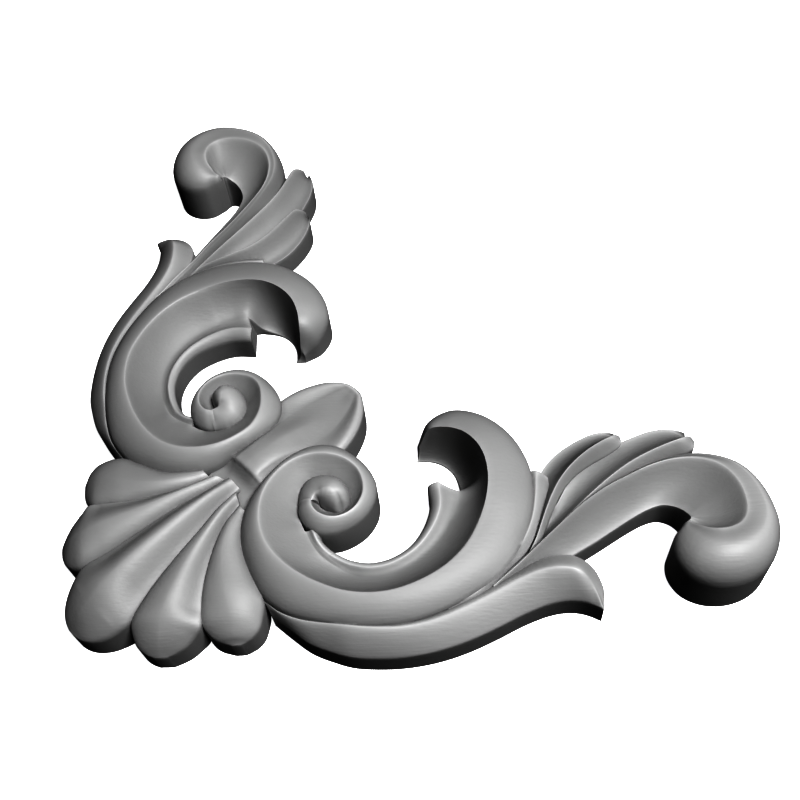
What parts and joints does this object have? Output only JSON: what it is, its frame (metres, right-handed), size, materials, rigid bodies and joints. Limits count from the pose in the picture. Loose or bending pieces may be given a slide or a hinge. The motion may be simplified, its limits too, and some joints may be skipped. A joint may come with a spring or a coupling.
{
  "type": "corner applique",
  "caption": "Flat-backed carved wood corner ornament: a shell on the corner, mirrored C-scrolls with leaves and curled stems along two arms, and a leaf between them.",
  "frame": {"origin": "on the flat back, on the mirror line, at the collar where the shell meets the centre leaf", "axes": "+Z out of the carved face, away from the surface it is fixed to; +X along one arm and +Y along the other; the mirror plane is X = Y"},
  "size_m": [0.2012, 0.2012, 0.0219],
  "materials": {
    "wood": "satin grey primer over fine-grained carved wood"
  },
  "bodies": {
    "root": {"applique": "wood"}
  },
  "joints": []
}
